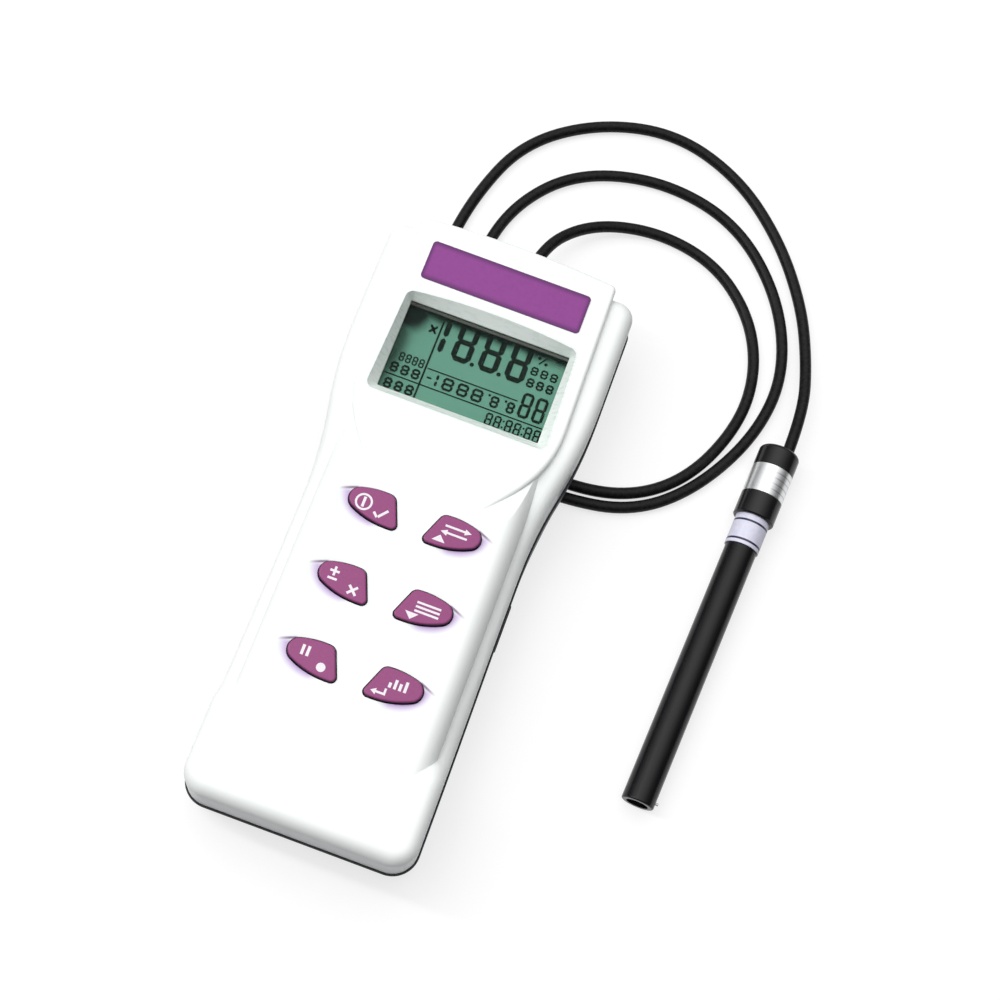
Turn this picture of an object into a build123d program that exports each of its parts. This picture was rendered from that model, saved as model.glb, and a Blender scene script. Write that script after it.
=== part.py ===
"""Hand-held conductivity meter with its corded probe, in millimetres.

The meter lies on its back on the plane Z = 0, display end towards +Y, and the probe and its cord lie
on the same plane to its right. The origin is on that plane, under the middle of the meter.
"""
from build123d import *
from math import atan, cos, pi, radians, sin, tan
import os

# Places along the front, counted up and down from the top key row
key_row_y = -1.5
key_pitch = 24.0
foot_below_keys = 46.5     # bottom key row to the foot end
ledge_below_keys = 7.5     # bottom key row to the low end of the finger ledges
bezel_above_keys = 33.7
bezel_height = 34.8
title_above_bezel = 4.7
title_height = 13.1
top_above_title = 4.1      # title plate to the top of the wings

# Case outline, seen from the front
panel_rise = 3.9           # the centre panel stands this far past the wings at the top end
head_half = 39.6
waist_half = 34.0
foot_margin = 6.1          # foot screws to the side of the case
foot_corner = 7.5
head_corner = 5.5
waist_y = -2.0             # narrowest place
shoulder_run = 34.9        # full head width over this length

# Case heights above the table
front_level = 32.0
wing_level = 30.0
ledge_level = 24.6
joint_level = 15.0         # middle of the seal between the halves
seal_height = 0.8
seal_width = 1.7
head_clearance = 5.6       # the head's back stands this far off the table, over the cord
belly_end_y = 14.0         # the belly lies on the table up to here
belly_rise_run = 12.0
rim_step = 0.6             # the rear half stands this far outside the front half
foot_lean = 2.4            # the rear half's foot end leans in this far from its rim to the table
wall = 2.3
edge_round = 4.0
back_round = 3.0

# Front relief
grip_half = 30.3           # inner wall of the finger ledges
grip_round = 5.6
ledge_low_run = 15.0
ledge_below_bezel = 38.2   # bezel to the high end of the finger ledges
ledge_high_run = 40.0
panel_half = 32.3
panel_top_half = 31.5
panel_arch = 1.5
panel_round = 1.1
panel_corner = 2.0
panel_low_level = 21.0     # underside of the panel where it overhangs the top end
panel_bend_rise = 8.8      # the panel's edges turn in below this height over the bezel's foot
panel_foot_drop = 24.2     # bezel to the foot of the panel
panel_foot_half = 17.5
panel_rim_lap = 5.0
wing_fade_rise = 0.5       # the wings reach the front level this far over the panel's foot
wing_fade_run = 27.5
fade_drop = 0.2

# Display
bezel_top_half = 27.6
bezel_foot_half = 28.8
bezel_arch = 1.9
bezel_corner = 3.0
bezel_depth = 3.9
bezel_rim = 0.5
view_half = 25.4
view_top_margin = 1.8
view_foot_margin = 3.4
window_lap = 1.6
window_thickness = 1.5
lcd_frame_thickness = 1.8
lcd_frame_width = 4.4
lcd_thickness = 2.2
lcd_margin = 3.2
connector_width = 2.0

# Title plate
title_half = 25.4
title_corner = 1.3
title_thickness = 0.6
title_sink = 0.4

# Keys: the left one is drawn, the right one is its mirror image
key_column = 12.5
key_inner_top = 5.0
key_inner_foot = 9.0
key_half_height = 5.0
key_top_corner = 2.2
key_foot_corner = 1.4
key_tip_radius = 3.4
key_top_radius = 24.7
key_top_x = 1.7
key_belly_radius = 26.0
key_belly_x = 5.9
key_proud = 1.0
key_edge_round = 0.6
key_gap = 0.35
key_lip = 1.0
key_lip_thickness = 1.4
key_stem_radius = 1.5
key_stem_depth = 3.6
key_travel = 0.8
dish_long = 9.6
dish_short = 6.4
dish_shift = 1.9           # the dish lies this far outside the key's middle
dish_depth = 0.7

# Circuit board and switches
board_half = 26.4
board_foot_gap = 25.0
board_head_gap = 3.0
board_level = 19.0
board_thickness = 1.6
board_post_x = 22.8
board_post_low = 6.5       # first posts over the board's foot edge
board_post_gap = 7.7       # middle posts below the bezel
board_post_high = 7.9      # last posts below the board's head edge
switch_size = 6.2
switch_bore = 1.9
dome_thickness = 0.25
chip_places = ((0, 9, 12, 8), (0, 85, 14, 14), (13, 85, 5, 8), (-13, 85, 6, 4))  # from the board's foot
chip_height = 1.6

# Battery compartment in the back
cell_radius = 5.2
cell_length = 44.5
cell_count = 4
cell_gap = 0.4
compartment_foot_gap = 6.0
spring_room = 4.0
plate_room = 0.7
contact_thickness = 0.5
contact_half = 4.2
spring_half = 3.4
spring_fold = 0.6
spring_leaf_half = 1.5
cover_margin = 1.2         # the cover reaches this far past the tray
cover_lap = 1.3
cover_skin = 1.4
cover_thickness = 2.6
cover_lift = 0.2
cover_ridge_count = 6
cover_ridge_start = 12.0
cover_ridge_pitch = 1.8
cover_ridge_half = 10.35
cover_ridge_radius = 0.55
cover_ridge_offset = 0.15
running_gap = 0.3
tray_wall = 1.4
rail_wall = 1.6

# Fasteners
head_screw_x = 32.6
head_screw_gap = 9.4       # screws to the top of the wings
foot_screw_gap = 10.0      # screws to the foot end
foot_screw_margin = 1.0    # screw heads to the cover's slot
screw_radius = 1.45
screw_bore = 1.6
screw_head_radius = 2.7
screw_head_height = 2.0
screw_head_sink = 1.0
screw_head_gap = 0.2
post_radius = 3.3
insert_radius = 2.2
insert_height = 6.0
board_post_radius = 2.4
board_screw_radius = 1.0
board_screw_length = 6.0

# Cord outlet in the top end
gland_x = 3.0
gland_level = 11.0
gland_radius = 2.5
gland_flange = 3.3
gland_flange_height = 1.4
gland_reach = 3.5
nut_radius = 3.1
nut_height = 2.6
plug_width = 10.0
plug_length = 7.0

# Power socket in the right wall, behind a hinged rubber flap
jack_y = -16.5
jack_level = 8.4
jack_opening = 3.2
jack_bore = 2.75
jack_pin_radius = 1.0
jack_length = 12.0
jack_width = 9.0
jack_wall_half = 8.0       # thickened stretch of the side wall
flap_length = 12.5
flap_height = 8.4
flap_thickness = 1.5
flap_recess = 1.5
flap_knuckle = 1.3
flap_pin_radius = 0.6
pin_clearance = 0.05

# Probe
probe_length = 120.0
probe_top = (96.9, 69.3)   # middle of the cap's top end, in plan
probe_lean = 3.75          # degrees, its top end towards +X
probe_head_radius = 6.5
cap_length = 7.3
cap_chamfer = 1.5
band_length = 9.5
band_skin = 0.35
collar_length = 7.8
ring_length = 10.0
ring_radius = 5.4
neck_radius = 4.3
tube_radius = 5.0
tip_round = 0.5
seal_section = 0.9
neck_in_head = 6.0
spigot_radius = 4.8
spigot_length = 4.0
cell_bore = 3.4
cell_depth = 26.0
vent_radius = 1.5
vent_setback = 4.0         # vent to the floor of the measuring chamber
core_radius = 1.6
core_setback = 1.5
electrode_width = 2.0
electrode_skin = 0.3
electrode_places = (5.0, 11.0, 17.0)
pin_radius = 0.45
pin_out = 0.8
pin_place = 2.2
entry_offset = 2.2         # the cord enters the cap this far to the right of its middle
entry_radius = 1.87

# Cord
cord_radius = 1.85

key_low_row_y = key_row_y - 2 * key_pitch
case_foot = key_low_row_y - foot_below_keys
ledge_low_y = key_low_row_y - ledge_below_keys
bezel_foot_y = key_row_y + bezel_above_keys
bezel_top_y = bezel_foot_y + bezel_height
view_foot_y = bezel_foot_y + view_foot_margin
view_top_y = bezel_top_y - view_top_margin
title_foot_y = bezel_top_y + title_above_bezel
title_top_y = title_foot_y + title_height
case_top = title_top_y + top_above_title
shoulder_y = case_top - shoulder_run
ledge_high_y = bezel_foot_y - ledge_below_bezel
panel_bend_y = bezel_foot_y + panel_bend_rise
panel_foot_y = bezel_foot_y - panel_foot_drop
wing_fade_y = panel_foot_y + wing_fade_rise
grip_high_y = wing_fade_y + wing_fade_run
board_low_y = case_foot + board_foot_gap
board_high_y = case_top - board_head_gap
board_post_y = (board_low_y + board_post_low, bezel_foot_y - board_post_gap, board_high_y - board_post_high)
compartment_low_y = case_foot + compartment_foot_gap
panel_top = case_top + panel_rise
front_inside = front_level - wall
board_top = board_level + board_thickness
front_rim = joint_level + seal_height / 2
rear_rim = joint_level - seal_height / 2
bezel_seat = front_level - bezel_depth
window_floor = bezel_seat - window_thickness
lcd_top = window_floor - lcd_frame_thickness
lcd_floor = lcd_top - lcd_thickness
key_floor = front_inside - running_gap - key_lip_thickness
switch_top = key_floor - key_travel - running_gap
cover_top = cover_lift + cover_thickness
cell_level = cover_top + running_gap + cell_radius
tray_half = (2 * cell_radius * cell_count + cell_gap * (cell_count + 1)) / 2
tray_ceiling = cell_level + cell_radius + cell_gap
tray_high_y = compartment_low_y + cell_length + spring_room + plate_room
cover_end_y = tray_high_y + tray_wall
cell_pitch = 2 * cell_radius + cell_gap
cover_half = tray_half + cover_margin
slot_half = cover_half + cover_lap + running_gap
foot_screw_x = slot_half + screw_head_radius + foot_screw_margin
foot_half = foot_screw_x + foot_margin
beyond = 3 * head_half     # past the case's sides
overlap = 1.0              # joined bodies run this far into each other


def mirrored(half):
    """A closed face from the right half of its outline."""
    return make_face(half + mirror(half, about=Plane.YZ))


def slab(face, low, high):
    """A face drawn in plan, as a solid between two heights."""
    return extrude(Pos(0, 0, low) * face, high - low)


def across(outline):
    """A side view (y, z) swept across the whole width."""
    return extrude(Plane.YZ * make_face(outline), beyond, both=True)


def block(x0, x1, y0, y1, z0, z1):
    """A box from its six limits."""
    centre = Pos((x0 + x1) / 2, (y0 + y1) / 2, (z0 + z1) / 2)
    return centre * Box(x1 - x0, y1 - y0, z1 - z0)


def upright(x, y, radius, low, high):
    """An upright round rod."""
    return Pos(x, y, (low + high) / 2) * Cylinder(radius, high - low)


def along_y(x, z, radius, low, high):
    """A round rod along Y."""
    return Pos(x, (low + high) / 2, z) * Rot(90, 0, 0) * Cylinder(radius, high - low)


def along_x(y, z, radius, low, high):
    """A round rod along X."""
    return Pos((low + high) / 2, y, z) * Rot(0, 90, 0) * Cylinder(radius, high - low)


def double_bend(start, end, heading):
    """Two equal arcs that leave the start and reach the end with the same heading."""
    middle = ((start[0] + end[0]) / 2, (start[1] + end[1]) / 2)
    back = (-heading[0], -heading[1])
    return TangentArc(start, middle, tangent=heading) + TangentArc(end, middle, tangent=back)


def case_outline(grow=0.0, foot_lift=0.0):
    """Plan outline of the case, grown outwards by an even amount, its foot end moved in by the lift."""
    foot_end = case_foot - grow + foot_lift
    foot_turn = case_foot + foot_corner + foot_lift
    head_turn = case_top - head_corner
    foot, waist, head = foot_half + grow, waist_half + grow, head_half + grow
    half = Line((0, foot_end), (foot_half - foot_corner, foot_end))
    half += CenterArc((foot_half - foot_corner, foot_turn), foot_corner + grow, -90, 90)
    half += double_bend((foot, foot_turn), (waist, waist_y), (0, 1))
    half += double_bend((waist, waist_y), (head, shoulder_y), (0, 1))
    half += Line((head, shoulder_y), (head, head_turn))
    half += CenterArc((head_half - head_corner, head_turn), head_corner + grow, 0, 90)
    half += Line((head_half - head_corner, case_top + grow), (0, case_top + grow))
    return mirrored(half)


def panel_outline(shrink=0.0):
    """Raised centre panel: arched at the top, straight beside the display, then drawn in below it."""
    foot, bend = (panel_foot_half - shrink, panel_foot_y), (panel_half - shrink, panel_bend_y)
    corner = (panel_top_half - shrink, panel_top - panel_arch - shrink)
    half = Line((0, panel_foot_y), foot)
    half += Spline(foot, bend, tangents=[(0.6, 0.8), Vector(*corner) - Vector(*bend)])
    half += Line(bend, corner)
    arch = ThreePointArc((-corner[0], corner[1]), (0, panel_top - shrink), corner)
    face = make_face(half + mirror(half, about=Plane.YZ) + arch)
    return fillet([vertex for vertex in face.vertices() if vertex.Y > panel_bend_y + 1], panel_corner)


def bezel_outline(grow=0.0):
    """Outer edge of the display bezel: wider at its foot, with an arched top edge."""
    foot_corner_point = (bezel_foot_half + grow, bezel_foot_y - grow)
    top_corner_point = (bezel_top_half + grow, bezel_top_y + grow)
    half = Line((0, bezel_foot_y - grow), foot_corner_point)
    half += Line(foot_corner_point, top_corner_point)
    arch_middle = (0, bezel_top_y + bezel_arch + grow)
    arch = ThreePointArc((-top_corner_point[0], top_corner_point[1]), arch_middle, top_corner_point)
    face = make_face(half + mirror(half, about=Plane.YZ) + arch)
    corners = [vertex for vertex in face.vertices() if abs(vertex.X) > view_half]
    return fillet(corners, bezel_corner + grow)


def view_outline(grow=0.0):
    """The rectangle through which the display is seen."""
    size = (2 * (view_half + grow), view_top_y - view_foot_y + 2 * grow)
    return Pos(0, (view_top_y + view_foot_y) / 2) * Rectangle(*size)


def title_outline():
    """Outline of the label above the display."""
    height = title_top_y - title_foot_y
    return Pos(0, (title_top_y + title_foot_y) / 2) * RectangleRounded(2 * title_half, height, title_corner)


def key_outline(grow=0.0):
    """Leaf-shaped key of the left column: a lens of two arcs, cut off aslant on the inner side."""
    top = Pos(key_top_x, key_half_height - key_top_radius) * Circle(key_top_radius + grow)
    belly = Pos(key_belly_x, key_belly_radius - key_half_height) * Circle(key_belly_radius + grow)
    upper, lower = Vector(key_inner_top, key_half_height), Vector(key_inner_foot, -key_half_height)
    down = (lower - upper).normalized()
    outwards = Vector(-down.Y, down.X) * grow
    upper, lower = upper + outwards - down * key_half_height, lower + outwards + down * key_half_height
    cut = make_face(Polyline(upper, lower, (-beyond, lower.Y), (-beyond, upper.Y), close=True))
    face = top & belly & cut
    tip = face.vertices().sort_by(Axis.X)[0]
    face = fillet(tip, key_tip_radius + grow)
    inner = face.vertices().sort_by(Axis.X)[-2:].sort_by(Axis.Y)
    face = fillet(inner[0], key_foot_corner + grow)
    return fillet(face.vertices().sort_by_distance(inner[1])[0], key_top_corner + grow)


def skirt():
    """Outer body: full height at the foot, low along the finger ledges, wing height at the head."""
    foot, head = case_foot - 1, case_top + 1
    fall_y, rise_y = ledge_low_y - ledge_low_run, ledge_high_y + ledge_high_run
    top = Line((foot, front_level), (fall_y, front_level))
    top += double_bend((fall_y, front_level), (ledge_low_y, ledge_level), (1, 0))
    top += Line((ledge_low_y, ledge_level), (ledge_high_y, ledge_level))
    top += double_bend((ledge_high_y, ledge_level), (rise_y, wing_level), (1, 0))
    top += Polyline((rise_y, wing_level), (head, wing_level), (head, front_rim), (foot, front_rim))
    top += Line((foot, front_rim), (foot, front_level))
    body = across(top) & slab(case_outline(), front_rim, front_level + 1)
    rounded = [edge for edge in body.edges() if edge.center().Z > ledge_level - 1]
    return fillet(rounded, edge_round)


def grip_body():
    """Body between the finger ledges, its top fading into the wings beside the panel."""
    low, high = case_foot + 2 * edge_round, grip_high_y
    section = Pos(0, (front_level + front_rim) / 2) * Rectangle(2 * grip_half, front_level - front_rim)
    section = fillet(section.vertices().group_by(Axis.Y)[-1], grip_round)
    body = Pos(0, high, 0) * extrude(Plane.XZ * section, high - low)
    fade_level = wing_level - fade_drop
    fade = Polyline(
        (wing_fade_y, front_level),
        (high - 2, fade_level),
        (high + 1, fade_level),
        (high + 1, front_level + 1),
        (wing_fade_y, front_level + 1),
        close=True,
    )
    return body - (across(fade) - slab(panel_outline(panel_round + 0.1), front_rim, front_level + 2))


def panel_body():
    """Raised centre panel with its softened edge; it overhangs the top end."""
    body = slab(panel_outline(), panel_low_level, front_level)
    top = body.faces().sort_by(Axis.Z)[-1]
    edges = [edge for edge in top.edges() if edge.center().Y > panel_foot_y + 0.5]
    return fillet(edges, panel_round)


def front_cavity():
    """Hollow of the front half, under the ledges, the grips, the wings and the panel."""
    low = front_rim - 1
    room = slab(case_outline(-wall), low, front_level)
    grip, panel = grip_half - wall, panel_half - wall
    foot_room_y = ledge_low_y - ledge_low_run - wall
    hollow = room & block(-foot_half, foot_half, case_foot, foot_room_y, low, front_inside)
    hollow += room & block(-grip, grip, case_foot, grip_high_y, low, front_inside)
    hollow += room & block(-panel, panel, grip_high_y - panel_rim_lap, case_top, low, front_inside)
    hollow += room & block(-head_half, head_half, panel_bend_y, case_top, low, wing_level - wall)
    hollow += room & block(-head_half, head_half, case_foot, case_top, low, ledge_level - wall)
    return hollow


def case_screw_places():
    """Places of the case screws (x, y) and the level of the case's back there."""
    pairs = (
        (head_screw_x, case_top - head_screw_gap, head_clearance),
        (foot_screw_x, case_foot + foot_screw_gap, 0.0),
    )
    return [(side * x, y, back) for x, y, back in pairs for side in (-1, 1)]


def board_post_places():
    """Places (x, y) of the posts that carry the circuit board."""
    return [(side * board_post_x, y) for y in board_post_y for side in (-1, 1)]


def key_places():
    """Key name, side and middle (x, y), row by row from the display down."""
    names = (("key_power", "key_up"), ("key_calibrate", "key_down"), ("key_hold", "key_enter"))
    return [
        (name, side, side * key_column, key_row_y - row * key_pitch)
        for row, pair in enumerate(names)
        for name, side in zip(pair, (-1, 1))
    ]


def at_key(shape, side, x, y):
    """A shape drawn for the left column, placed at a key."""
    turned = shape if side < 0 else mirror(shape, about=Plane.YZ)
    return Pos(x, y, 0) * turned


def key_dish():
    """Shallow round hollow in the front about a key of the left column, as a cutter."""
    ball = (dish_long ** 2 + dish_depth ** 2) / (2 * dish_depth)
    lens = Pos(0, 0, ball - dish_depth) * Sphere(ball)
    lens = lens & block(-dish_long, dish_long, -dish_long, dish_long, -dish_depth - 1, 1)
    lens = scale(lens, by=(1, dish_short / dish_long, 1))
    return Pos(-dish_shift, -0.5, front_level) * lens


def front_case():
    """Front half of the housing with its openings, bosses and posts."""
    body = skirt() + grip_body() + panel_body() - front_cavity()
    body += slab(bezel_outline(tray_wall), window_floor, front_inside + 0.5)
    for x, y, _ in case_screw_places():
        roof = wing_level if y > shoulder_y else front_level
        body += upright(x, y, post_radius, front_rim, roof - wall + 0.5)
    for x, y in board_post_places():
        body += upright(x, y, board_post_radius, board_top, front_inside + 0.5)
    body -= slab(bezel_outline(), bezel_seat, front_level + 1)
    body -= slab(view_outline(window_lap), window_floor - 1, bezel_seat + 0.1)
    body -= slab(title_outline(), front_level - title_sink, front_level + 1)
    cutter = slab(key_outline(key_gap), key_floor, front_level + 1)
    for _, side, x, y in key_places():
        body -= at_key(key_dish(), side, x, y)
        body -= at_key(cutter, side, x, y)
    for x, y, _ in case_screw_places():
        body -= upright(x, y, insert_radius, front_rim - 1, front_rim + insert_height)
    for x, y in board_post_places():
        body -= upright(x, y, board_screw_radius, board_top - 1, board_top + board_screw_length)
    return body


def back_profile(lift=0.0, top=rear_rim):
    """Side view of the rear half: belly on the table, then the raised back of the head."""
    foot, head = case_foot - 3, case_top + 3
    belly, raised = lift, head_clearance + lift
    rise_end = belly_end_y + belly_rise_run
    line = Line((foot, belly), (belly_end_y, belly))
    line += double_bend((belly_end_y, belly), (rise_end, raised), (1, 0))
    line += Polyline((rise_end, raised), (head, raised), (head, top), (foot, top), (foot, belly))
    return across(line)


def leaning_slab(grow):
    """The case outline from under the table to above the rim, its foot end leaning in downwards."""
    levels = (-overlap, rear_rim + overlap)
    outlines = [Pos(0, 0, z) * case_outline(grow, foot_lean * (1 - z / rear_rim)) for z in levels]
    return loft(outlines, ruled=True)


def rear_body():
    """Outer form of the rear half, solid."""
    body = back_profile() & leaning_slab(rim_step)
    lower = [e for e in body.edges() if e.center().Z < head_clearance + 0.5]
    body = fillet(lower, back_round)
    rim = body.faces().sort_by(Axis.Z)[-1]
    return fillet(rim.edges(), rim_step * 0.7)


def cover_slot(gap):
    """Space of the sliding battery cover, open through the foot end, with its side tongues."""
    tongue_low = cover_lift + cover_skin - gap
    skin = block(-cover_half - gap, cover_half + gap, case_foot - 3, cover_end_y + gap, -1, tongue_low + gap)
    lap = slot_half - running_gap + gap
    tongue = block(-lap, lap, case_foot - 3, cover_end_y + gap, tongue_low, cover_top + gap)
    return skin + tongue


def flap_recess_space():
    """Recess in the right wall for the socket's flap, with round room for its knuckle."""
    face = jack_face_x()
    half = flap_height / 2 + running_gap
    x, y, room = flap_hinge_x(), flap_hinge_y(), flap_knuckle + running_gap
    recess = block(face, beyond, y - flap_length - running_gap, y, jack_level - half, jack_level + half)
    recess += block(x, beyond, y - room, y + room, jack_level - half, jack_level + half)
    return recess + upright(x, y, room, jack_level - half, jack_level + half)


def jack_face_x():
    """Floor of the flap's recess."""
    return waist_half + rim_step - flap_recess


def flap_hinge_y():
    """The flap turns about an upright pin at its upper end."""
    return jack_y + flap_length / 2


def flap_hinge_x():
    """Middle of the flap's hinge pin."""
    return jack_face_x() + running_gap + flap_thickness - flap_knuckle


def rear_case():
    """Rear half of the housing: battery tray, screw posts, outlets for the cord and the socket."""
    body = rear_body() - (back_profile(wall, rear_rim + overlap) & leaning_slab(-wall))
    tray = tray_half + tray_wall
    low_y = case_foot + foot_lean + wall / 2
    tray_low_y = compartment_low_y - tray_wall
    body += block(-tray, tray, tray_low_y, cover_end_y, cover_lift + overlap, tray_ceiling + tray_wall)
    rail = slot_half + rail_wall
    body += block(-rail, rail, low_y, cover_end_y + rail_wall, wall / 2, cover_top + running_gap + tray_wall)
    for x, y, back in case_screw_places():
        body += upright(x, y, post_radius, back + overlap, rear_rim)
    wall_x = waist_half - wall
    half = jack_wall_half
    body += block(wall_x - overlap, jack_face_x(), jack_y - half, jack_y + half, wall / 2, rear_rim)
    body -= cover_slot(running_gap)
    body -= block(-tray_half, tray_half, compartment_low_y, tray_high_y, cover_top, tray_ceiling)
    for x, y, back in case_screw_places():
        seat = back + screw_head_sink + screw_head_height
        body -= upright(x, y, screw_head_radius + screw_head_gap, back - 1, seat)
        body -= upright(x, y, screw_bore, seat - 1, rear_rim + 1)
    body -= along_y(gland_x, gland_level, gland_radius, case_top - 2 * wall, case_top + 3)
    body -= flap_recess_space()
    body -= along_x(jack_y, jack_level, jack_opening, wall_x - 3, beyond)
    pin_half = flap_height / 2 + 2
    hinge = (flap_hinge_x(), flap_hinge_y())
    body -= upright(*hinge, flap_pin_radius, jack_level - pin_half, jack_level + pin_half)
    return body


def case_seal():
    """Flat seal between the two halves, standing a little proud all round."""
    ring = case_outline(rim_step / 2) - case_outline(rim_step / 2 - seal_width)
    return slab(ring, rear_rim, front_rim)


def title_plate():
    """Label plate in its shallow seat above the display."""
    floor = front_level - title_sink
    return slab(title_outline(), floor, floor + title_thickness)


def display_bezel():
    """Frame whose sides slope down from the panel to the window."""
    body = slab(bezel_outline(), bezel_seat, front_level)
    rim = Pos(0, 0, front_level) * bezel_outline(-bezel_rim)
    foot = Pos(0, 0, bezel_seat + 0.4) * view_outline()
    foot = fillet(foot.vertices(), 0.6)
    funnel = loft([foot, rim])
    mouth = slab(view_outline(), bezel_seat - 1, bezel_seat + 0.6)
    return body - funnel - mouth


def display_window():
    """Clear window behind the bezel."""
    return slab(view_outline(window_lap), window_floor, bezel_seat)


def lcd_frame():
    """Frame that holds the display glass off the window."""
    ring = view_outline(lcd_frame_width) - view_outline(0.2)
    body = slab(ring, lcd_top, window_floor)
    rim = view_outline(lcd_frame_width) - view_outline(lcd_margin)
    return body + slab(rim, lcd_floor + 0.3, lcd_top)


def lcd_glass():
    """Display glass."""
    return slab(view_outline(lcd_margin), lcd_floor, lcd_top)


def lcd_connectors():
    """Rubber contact strips between the circuit board and the display glass."""
    half = view_half - 1
    strips = []
    for y in (view_foot_y - lcd_margin + 1, view_top_y + lcd_margin - 1 - connector_width):
        strips.append(block(-half, half, y, y + connector_width, board_top, lcd_floor))
    return Compound(children=strips)


def main_board():
    """Circuit board with its screw holes."""
    middle = (board_low_y + board_high_y) / 2
    plate = Pos(0, middle) * RectangleRounded(2 * board_half, board_high_y - board_low_y, 2)
    body = slab(plate, board_level, board_top)
    for x, y in board_post_places():
        body -= upright(x, y, board_screw_radius + 0.15, board_level - 1, board_top + 1)
    return body


def board_chips():
    """Integrated circuits on the front of the board."""
    chips = []
    for x, y, width, length in chip_places:
        chip = Pos(x, board_low_y + y, board_top + chip_height / 2) * Box(width, length, chip_height)
        chips.append(chamfer(chip.faces().sort_by(Axis.Z)[-1].edges(), 0.3))
    return Compound(children=chips)


def board_screws():
    """Small screws that hold the board to the posts of the front half."""
    screws = []
    for x, y in board_post_places():
        shank = upright(x, y, board_screw_radius, board_level, board_top + board_screw_length - 0.5)
        screws.append(shank + upright(x, y, 2 * board_screw_radius, board_level - 1.2, board_level))
    return Compound(children=screws)


def tact_switches():
    """Switch bodies under the keys, each with a bore that takes the key's stem."""
    switches = []
    half = switch_size / 2
    for _, _, x, y in key_places():
        body = block(x - half, x + half, y - half, y + half, board_top, switch_top)
        body = chamfer(body.edges().filter_by(Axis.Z), 0.6)
        floor = key_floor - key_stem_depth - key_travel - running_gap - dome_thickness
        switches.append(body - upright(x, y, switch_bore, floor, switch_top + 1))
    return Compound(children=switches)


def switch_domes():
    """Spring discs on the floors of the switch bores."""
    floor = key_floor - key_stem_depth - key_travel - running_gap - dome_thickness
    discs = []
    for _, _, x, y in key_places():
        discs.append(upright(x, y, switch_bore, floor, floor + dome_thickness))
    return Compound(children=discs)


def key(side, x, y):
    """Key with a softened top, a retaining lip under the case wall and a stem into its switch."""
    top = front_level + key_proud
    cap = slab(key_outline(), key_floor, top)
    cap = fillet(cap.faces().sort_by(Axis.Z)[-1].edges(), key_edge_round)
    cap += slab(key_outline(key_gap + key_lip), key_floor, key_floor + key_lip_thickness)
    cap += upright(0, 0, key_stem_radius, key_floor - key_stem_depth, key_floor + 0.5)
    return at_key(cap, side, x, y)


def battery_cover():
    """Sliding cover of the battery tray, flush with the case's back and foot end."""
    reach = case_foot - rim_step
    skin = block(-cover_half, cover_half, reach, cover_end_y, cover_lift, cover_lift + cover_skin)
    lap = cover_half + cover_lap
    plate = block(-lap, lap, reach, cover_end_y, cover_lift + cover_skin, cover_top)
    body = (skin + plate) & rear_body()
    for ridge in range(cover_ridge_count):
        y = case_foot + cover_ridge_start + cover_ridge_pitch * ridge
        level = cover_lift - cover_ridge_offset
        body -= along_x(y, level, cover_ridge_radius, -cover_ridge_half, cover_ridge_half)
    return body


def cell_centres():
    """Middles of the cells, across the tray."""
    return [(i - (cell_count - 1) / 2) * cell_pitch for i in range(cell_count)]


def battery_cells():
    """Cylindrical cells side by side, the terminals facing alternate ways."""
    cells = []
    low = compartment_low_y + spring_room
    for i, x in enumerate(cell_centres()):
        ends = (low, low + cell_length - 1.0) if i % 2 == 0 else (low + 1.0, low + cell_length)
        nub = (ends[1], ends[1] + 1.0) if i % 2 == 0 else (ends[0] - 1.0, ends[0])
        can = along_y(x, cell_level, cell_radius, *ends)
        can = chamfer(can.edges().filter_by(GeomType.CIRCLE), 0.5)
        cells.append(can + along_y(x, cell_level, 2.0, *nub))
    return Compound(children=cells)


def battery_springs():
    """Bent spring contacts at the foot end of the tray."""
    y = compartment_low_y
    reach = spring_room
    parts = []
    for x in cell_centres():
        limits = (x - contact_half, x + contact_half, y, y + contact_thickness)
        plate = block(*limits, cover_top + 1.5, tray_ceiling)
        bend = Polyline(
            (y + contact_thickness, cell_level + spring_half),
            (y + reach, cell_level + spring_fold),
            (y + reach, cell_level - spring_fold),
            (y + contact_thickness, cell_level - spring_half),
            (y + contact_thickness, cell_level - spring_half + 2 * contact_thickness),
            (y + reach - contact_thickness, cell_level),
            (y + contact_thickness, cell_level + spring_half - 2 * contact_thickness),
            close=True,
        )
        leaf = Pos(x, 0, 0) * extrude(Plane.YZ * make_face(bend), spring_leaf_half, both=True)
        parts.append(plate + leaf)
    return Compound(children=parts)


def battery_plates():
    """Flat contacts at the other end of the tray."""
    y = tray_high_y
    parts = []
    for x in cell_centres():
        limits = (x - contact_half, x + contact_half, y - contact_thickness, y)
        plate = block(*limits, cover_top + 1.5, tray_ceiling)
        parts.append(plate + along_y(x, cell_level, 1.4, y - plate_room, y - contact_thickness))
    return Compound(children=parts)


def case_screws():
    """Long screws that draw the rear half to the front half."""
    screws = []
    for x, y, back in case_screw_places():
        low = back + screw_head_sink
        seat = low + screw_head_height
        tip = front_rim + insert_height
        shank = upright(x, y, screw_radius, seat, tip)
        head = upright(x, y, screw_head_radius, low, seat)
        cross = block(x - 1.6, x + 1.6, y - 0.3, y + 0.3, low - 1, low + 1)
        cross += block(x - 0.3, x + 0.3, y - 1.6, y + 1.6, low - 1, low + 1)
        screws.append(shank + head - cross)
    return Compound(children=screws)


def screw_inserts():
    """Brass inserts in the posts of the front half."""
    inserts = []
    for x, y, _ in case_screw_places():
        ring = upright(x, y, insert_radius, front_rim, front_rim + insert_height)
        inserts.append(ring - upright(x, y, screw_radius, front_rim - 1, front_rim + insert_height + 1))
    return Compound(children=inserts)


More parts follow.
